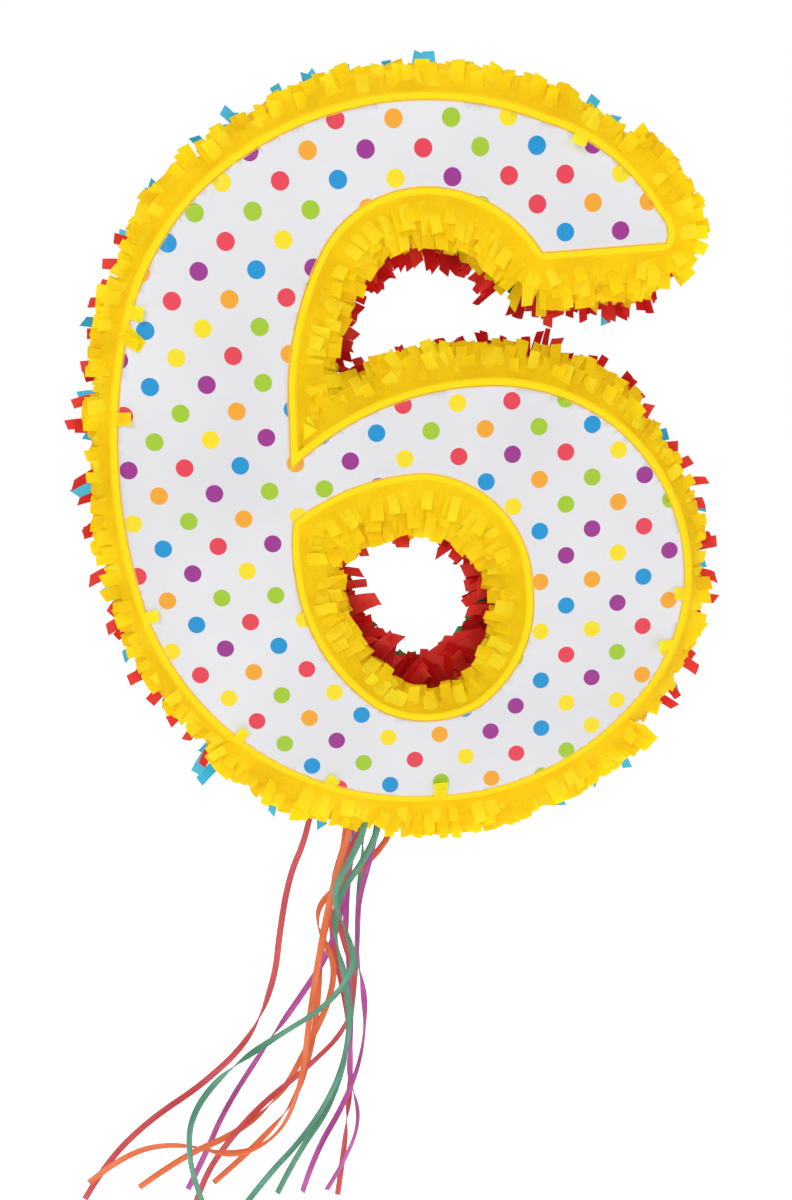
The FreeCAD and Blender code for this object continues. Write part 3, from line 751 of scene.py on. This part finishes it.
counterLayers = {
    "yellow_front": frontRow(32 * mm, 14 * mm, flaps=7 * mm, lean=0.42, leanRise=0.1),
    "yellow_second": backRow(31 * mm, 0.7, leanRise=0.25),
    "red": backRow(37 * mm, 0.35, 1.0, 6.0, leanRise=0.15),
    "green": backRow(18 * mm, 0.55),
    "blue": backRow(16 * mm, 0.0),
}
holeLayers = {
    "yellow_front": frontRow(32 * mm, 15 * mm, -9 * mm, flaps=6 * mm, lean=0.4, leanRise=0.2, leanSide=-0.1),
    "yellow_second": backRow(30 * mm, 0.75, leanRise=0.3, leanSide=-0.2, lengthRise=-8 * mm),
    "red": backRow(36 * mm, 0.32, 1.0, 6.0, leanRise=-0.05) + [longCurls(15 * mm, 46 * mm, 0.2)],
    "green": backRow(33 * mm, 0.2),
    "blue": backRow(10 * mm, 0.2, leanRise=0.3),
}


def inCounter(p):  # whether a point lies by the gap between the arm and the bowl
    x, z = p.x + drawingOrigin.x, p.z + drawingOrigin.z
    return -95 * mm < x < 150 * mm and 0 < z < 195 * mm or 150 * mm <= x < 172 * mm and 90 * mm < z < 150 * mm


def stretches(points, test):  # the ring's points in runs that pass the test
    flags = [test(p) for p in points]
    if all(flags):
        return [(points, True)]
    start = next((i for i in range(len(flags)) if flags[i] and not flags[i - 1]), None)
    if start is None:
        return []
    points, flags = points[start:] + points[:start], flags[start:] + flags[:start]
    runs, run = [], []
    for p, flag in zip(points, flags):
        if flag:
            run.append(p)
        elif run:
            runs.append((run, False))
            run = []
    if run:
        runs.append((run, False))
    return [r for r in runs if len(r[0]) > 1]


def onDoor(p):
    return door["low"] < p.x < door["high"] and p.z < door["under"]


def besideDoor(p):  # behind the trapdoor and where it swings to
    return door["low"] - 4 * mm < p.x < door["high"] + 44 * mm and p.z < door["under"]


def creaseZone(p):  # the tissue is left out close to the trapdoor's crease and kept short beside it
    gap = abs(p.x - door["high"])
    if p.z > door["under"] or gap > 28 * mm:
        return "away"
    return "parted" if gap < 10 * mm else "short"


def zoneOf(p):
    x, z = p.x + drawingOrigin.x, p.z + drawingOrigin.z
    if -90 * mm < x < -69 * mm and 0 < z < 21 * mm:
        return "notch"
    if inCounter(p):
        return "counter"
    if x > 150 * mm and z > 130 * mm:
        return "armEnd"
    if z > 150 * mm and x > -165 * mm:
        return "crown"
    return "foot" if z < -190 * mm else "side"


zoneLayers = {"counter": counterLayers, "armEnd": armEndLayers, "crown": crownLayers, "foot": footLayers, "side": sideLayers}


def makeBand(name, nodeName, body, ring, zones, row, seed):
    colourName = bandRows[row].split("_")[0]
    header = headerMesh(nodeName, frontRings)
    meshes = []
    for zoneCount, (test, layers) in enumerate(zones):
        for count, (start, settings) in enumerate(layers.get(bandRows[row], [])):
            onMargin = row == 0 and start < 1
            away = 5.4 if not onMargin else 4.6 if start > 0 else 3.4
            level = frontLevel + row * depthRow + (-0.2 * mm if onMargin else start * mm)
            if body == "trapdoor_flap":
                level = min(max(level, door["front"] + 2 * mm), door["back"] - 2 * mm)
            for points, closed in stretches(offsetRing(ring, away * mm, 2 * mm), test):
                meshes.append(stripMesh(points, closed, level, settings, seed + count * 101 + zoneCount * 37, cutTissue[colourName]))
    if name == "fringe_outer_yellow_front":
        meshes += [strayMesh(*stray, 300 + count) for count, stray in enumerate(strays)]
    piece = joinMeshes(name, header, meshes, [gluedTissue[colourName], cutTissue[colourName]])
    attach(piece, body)
    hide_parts(nodeName)
    return piece


strays = [  # yellow strips folded over the printed sheet: place in mm in the drawing's frame, reach, fan
    ((-183, 106), 17, 0.5), ((-184, 96), 13, -0.3), ((-181, 118), 12, 0.6), ((-195, 42), 13, 0.2), ((-186, -95), 12, -0.4),
    ((14, -243), 15, 0.2), ((-136, -187), 12, -0.5), ((-70, -226), 11, 0.3), ((189, -136), 14, 0.4), ((196, -96), 12, -0.3), ((120, 216), 12, 0.3),
]


def strayMesh(place, reach, fan, seed):
    here = Vector((place[0] * mm - drawingOrigin.x, frontLevel, place[1] * mm - drawingOrigin.z))
    _, foot = distanceTo([outerRing], [here])
    spot = Vector((foot[0][0], frontLevel, foot[0][1]))
    near = sorted(outerRing, key=lambda p: (p - spot).length)[:2]
    run = (near[1] - near[0]).normalized()
    order = [outerRing.index(p) for p in near]
    run = run if order[1] > order[0] else -run
    spot += run.cross(Vector((0, 1, 0))) * 3 * mm
    ends = [spot - run * mm, spot + run * mm]
    # the folded strips take a bright ink, as the front tabs do: painted highlight
    return stripMesh(ends, False, frontLevel - 0.9 * mm, {
        **tabs, "spacing": 9 * mm, "length": reach * mm, "lengthSpread": 0.0, "lean": math.pi + 0.12, "leanRise": 0.0, "leanSpread": 0.08,
        "fanSpread": abs(fan), "curl": -0.3, "curlSpread": 0.2, "twistSpread": 0.3, "tone": 0.8, "droop": 0.0}, seed, cutTissue["yellow"])


for row, rowName in enumerate(bandRows):
    doorCut = 0 < row < 4
    makeBand("fringe_outer_" + rowName, "outer_band_" + rowName, "shell", outerRing, [
        (lambda p, zone=zone: zoneOf(p) == zone and not (row == 4 and besideDoor(p)) and not (doorCut and (onDoor(p) or creaseZone(p) != "away")), layers)
        for zone, layers in zoneLayers.items()] + [
        (lambda p: not onDoor(p) and creaseZone(p) == "short", creaseLayers if doorCut else {}),
        (besideDoor, besideDoorLayers)], row, 11 + row)
    makeBand("fringe_hole_" + rowName, "hole_band_" + rowName, "shell", holeRing, [(lambda p: True, holeLayers)], row, 51 + row)
    if doorCut:
        makeBand("fringe_trapdoor_" + rowName, "trapdoor_band_" + rowName, "trapdoor_flap", outerRing, [
            (lambda p: onDoor(p) and creaseZone(p) == "away", footLayers),
            (lambda p: onDoor(p) and creaseZone(p) == "short", creaseLayers)], row, 91 + row)
print("tissue bands made")


# --- ribbons: each follows its own route, from inside the wall to its loose end, in mm in the drawing's frame

ribbonShape = {"width": 5 * mm, "thick": 0.5 * mm, "cup": 0.14}
ribbonRoutes = {
    "pull_ribbon": ("orange", 0.3, [(0.32, 1), (0.7, -1)], [
        (-14, 40, -250.5), (-16, 40, -276), (-29, 40, -301), (-56, 40, -324), (-82, 40, -344),
        (-83, 40, -368), (-70, 40, -395), (-76, 40, -431), (-97, 40, -472), (-122, 40, -517),
        (-160, 40, -547), (-206, 40, -564), (-243, 40, -590)]),
    "dummy_ribbon_red_1": ("red", 0.2, [(0.5, 1)], [
        (-80, 34, -214), (-80, 34, -250), (-89, 33, -286), (-102, 31, -312), (-112, 29, -355),
        (-119, 27, -401), (-141, 25, -450), (-182, 24, -487), (-225, 23, -513), (-264, 22, -549), (-284, 22, -582)]),
    "dummy_ribbon_orange_1": ("orange", -0.3, [(0.75, 1)], [
        (-50, 16, -229), (-50, 16, -262), (-62, 14, -294), (-73, 13, -331), (-84, 12, -380), (-94, 11, -433),
        (-101, 11, -480), (-120, 10, -528), (-158, 10, -546), (-202, 10, -527), (-245, 10, -532), (-276, 10, -557)]),
    "dummy_ribbon_green_1": ("green", 0.1, [(0.28, 1), (0.62, 1)], [
        (-40, 10, -234), (-40, 10, -264), (-54, 8, -292), (-71, 6, -320), (-60, 4, -350), (-54, 2, -380),
        (-78, 0, -410), (-120, -1, -433), (-163, -2, -460), (-189, -2, -494), (-194, -1, -530), (-189, 0, -566), (-181, 0, -598)]),
    "dummy_ribbon_green_2": ("green", -0.2, [(0.35, -1)], [
        (-28, 22, -233), (-28, 22, -266), (-42, 21, -298), (-66, 20, -328), (-70, 19, -362), (-62, 18, -402),
        (-61, 17, -446), (-74, 16, -491), (-102, 16, -536), (-136, 17, -572), (-162, 17, -606)]),
    "dummy_ribbon_magenta_1": ("magenta", 0.5, [(0.25, 1), (0.6, -1)], [
        (-48, 46, -229), (-48, 46, -268), (-56, 47, -308), (-62, 48, -352), (-75, 49, -394), (-105, 50, -438),
        (-138, 50, -483), (-170, 50, -532), (-189, 50, -574), (-205, 50, -604)]),
    "dummy_ribbon_red_2": ("red", 0.0, [(0.45, 1)], [
        (-34, 28, -229), (-34, 28, -262), (-54, 28, -292), (-69, 28, -330), (-64, 28, -366), (-54, 28, -404),
        (-62, 28, -448), (-97, 28, -482), (-134, 28, -510), (-166, 28, -544), (-190, 28, -580), (-200, 28, -612)]),
    "dummy_ribbon_orange_2": ("orange", 0.4, [(0.3, -1), (0.8, 1)], [
        (-53, 52, -225), (-53, 52, -263), (-59, 53, -304), (-69, 54, -348), (-82, 55, -391), (-86, 56, -440),
        (-94, 57, -486), (-110, 58, -534), (-146, 57, -574), (-184, 57, -606)]),
    "dummy_ribbon_green_3": ("green", 0.8, [(0.2, 1), (0.66, 1)], [
        (-42, 58, -229), (-42, 58, -270), (-43, 59, -312), (-49, 61, -356), (-52, 62, -403), (-57, 63, -452),
        (-66, 63, -502), (-82, 63, -549), (-111, 64, -589), (-131, 64, -628)]),
    "dummy_ribbon_magenta_2": ("magenta", -0.6, [(0.4, 1), (0.72, 1)], [
        (-38, 64, -230), (-38, 64, -266), (-50, 65, -302), (-57, 67, -342), (-61, 68, -388), (-58, 69, -436),
        (-60, 69, -484), (-64, 70, -526), (-55, 70, -564), (-68, 70, -602), (-88, 70, -634)]),
    "dummy_ribbon_red_3": ("red", 0.5, [(0.33, 1), (0.8, -1)], [
        (-46, 70, -226), (-46, 70, -264), (-56, 72, -304), (-71, 74, -348), (-72, 75, -400), (-64, 76, -450),
        (-60, 76, -502), (-65, 77, -556), (-72, 77, -606), (-79, 77, -646)]),
    "dummy_ribbon_magenta_3": ("magenta", 1.0, [(0.5, 1)], [
        (-30, 34, -233), (-30, 34, -268), (-38, 34, -304), (-50, 34, -342), (-53, 34, -386), (-47, 34, -432),
        (-52, 34, -480), (-70, 34, -525), (-95, 34, -566), (-108, 34, -604)]),
}


def splinePoints(name, route):
    curve = bpy.data.curves.new(name, "CURVE")
    curve.dimensions = "3D"
    spline = curve.splines.new("NURBS")
    spline.points.add(len(route) - 1)
    for point, place in zip(spline.points, route):
        point.co = (*(Vector(place) * mm - drawingOrigin), 1)
    spline.order_u = 3
    spline.use_endpoint_u = True
    spline.resolution_u = 14
    holder = bpy.data.objects.new(name, curve)
    scene.collection.objects.link(holder)
    line = bpy.data.meshes.new_from_object(holder)
    points = [v.co.copy() for v in line.vertices]
    bpy.data.objects.remove(holder)
    bpy.data.meshes.remove(line)
    clean = [points[0]]
    for p in points[1:]:
        if (p - clean[-1]).length > 1e-5:
            clean.append(p)
    return clean


def makeRibbon(name, colourName, startTwist, turns, route):
    line = splinePoints(name + "_line", route)
    length = sum((b - a).length for a, b in zip(line, line[1:]))
    half = ribbonShape["width"] / 2
    steps = [-1, -0.6, -0.2, 0.2, 0.6, 1]
    verts, faces, uvs = [], [], []
    travelled = 0.0
    ringSize = 2 * len(steps)
    distances = []
    for i, here in enumerate(line):
        if i:
            travelled += (here - line[i - 1]).length
        distances.append(travelled)
        part = travelled / length
        run = (line[min(i + 1, len(line) - 1)] - line[max(i - 1, 0)]).normalized()
        flat = run.cross(Vector((0, 1, 0))).normalized()
        angle = startTwist + 0.35 * math.sin(9 * part + 3 * startTwist)
        for place, halves in turns:
            t = min(max((part - place + 0.09) / 0.18, 0), 1)
            angle += halves * math.pi * t * t * (3 - 2 * t)
        across = flat * math.cos(angle) + run.cross(flat) * math.sin(angle)
        proud = run.cross(across)
        for way in (1, -1):
            for s in steps if way > 0 else reversed(steps):
                bow = ribbonShape["cup"] * ribbonShape["width"] * (1 - s * s)
                verts.append(here + across * half * s + proud * (bow + way * ribbonShape["thick"] / 2))
    for i in range(len(line) - 1):
        for k in range(ringSize):
            a, b = i * ringSize + k, i * ringSize + (k + 1) % ringSize
            faces.append((a, a + ringSize, b + ringSize, b))
    faces.append(tuple(range(ringSize)))
    faces.append(tuple(reversed(range(len(verts) - ringSize, len(verts)))))
    mesh = bpy.data.meshes.new(name + "_cut")
    mesh.from_pydata([tuple(v) for v in verts], [], faces)
    layer = mesh.uv_layers.new(name="UVMap")
    acrossAt = [(s + 1) / 2 for s in steps] + [(s + 1) / 2 for s in reversed(steps)]
    for loop in mesh.loops:
        layer.data[loop.index].uv = (acrossAt[loop.vertex_index % ringSize], distances[loop.vertex_index // ringSize] * 10)
    mesh.polygons.foreach_set("use_smooth", [True] * len(mesh.polygons))
    work = bmesh.new()
    work.from_mesh(mesh)
    bmesh.ops.recalc_face_normals(work, faces=work.faces)
    work.to_mesh(mesh)
    work.free()
    piece = showObject(name.replace("dummy_", "trailing_") + "_strip", mesh, ribbonFinish[colourName])
    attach(piece, name + "_cord")
    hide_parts(name)
    print(name, "is", round(length * 1000), "mm long")


for name, (colourName, startTwist, turns, route) in ribbonRoutes.items():
    makeRibbon(name, colourName, startTwist, turns, route)
print("ribbons made")


# --- floor, backdrop and lights

studio = {"floor": -1.02, "radius": 8.0, "glow": 0.55, "light": 0.6}


def makeStudio():
    work = bmesh.new()
    bmesh.ops.create_circle(work, cap_ends=True, segments=96, radius=studio["radius"], matrix=Matrix.Translation((0, 0, studio["floor"])))
    mesh = bpy.data.meshes.new("studio floor")
    work.to_mesh(mesh)
    work.free()
    material, tree, output, where = newMaterial("pale studio paper")
    grain = addNode(tree, "ShaderNodeTexNoise", {"Vector": where, "Scale": 3.0, "Detail": 2.0}).outputs["Fac"]
    paint = rampNode(tree, grain, [(0.3, (0.93, 0.93, 0.93, 1)), (0.7, (0.96, 0.96, 0.96, 1))])
    paper = addNode(tree, "ShaderNodeBsdfPrincipled", {
        "Base Color": paint, "Roughness": 0.9, "Specular IOR Level": 0.1,
        "Emission Color": (1, 1, 1, 1), "Emission Strength": studio["glow"]})
    tree.links.new(paper.outputs[0], output.inputs["Surface"])
    showObject("studio floor", mesh, material)


def makeWorld():  # soft light from all round, seen as plain white
    world = bpy.data.worlds.new("studio")
    world.use_nodes = True
    tree = world.node_tree
    tree.nodes.clear()
    light = addNode(tree, "ShaderNodeBackground", {"Color": (1, 1, 1, 1), "Strength": studio["light"]})
    seen = addNode(tree, "ShaderNodeBackground", {"Color": (1, 1, 1, 1), "Strength": 1.0})
    direct = tree.nodes.new("ShaderNodeLightPath").outputs["Is Camera Ray"]
    mixed = addNode(tree, "ShaderNodeMixShader", {0: direct, 1: light.outputs[0], 2: seen.outputs[0]})
    tree.links.new(mixed.outputs[0], tree.nodes.new("ShaderNodeOutputWorld").inputs["Surface"])
    scene.world = world


def areaLight(name, place, aim, size, power, tint=(1, 1, 1)):
    data = bpy.data.lights.new(name, "AREA")
    data.shape = "SQUARE"
    data.size = size
    data.energy = power
    data.color = tint
    lamp = bpy.data.objects.new(name, data)
    scene.collection.objects.link(lamp)
    lamp.location = place
    lamp.rotation_euler = (Vector(aim) - Vector(place)).to_track_quat("-Z", "Y").to_euler()


makeStudio()
makeWorld()
areaLight("key", (-0.9, -1.9, 0.9), (0, 0, -0.25), 1.0, 19)
areaLight("fill", (1.5, -1.6, 0.0), (0, 0, -0.3), 1.4, 7)
areaLight("top", (0.1, 0.3, 1.4), (0, 0, -0.25), 1.2, 9)
print("studio set")
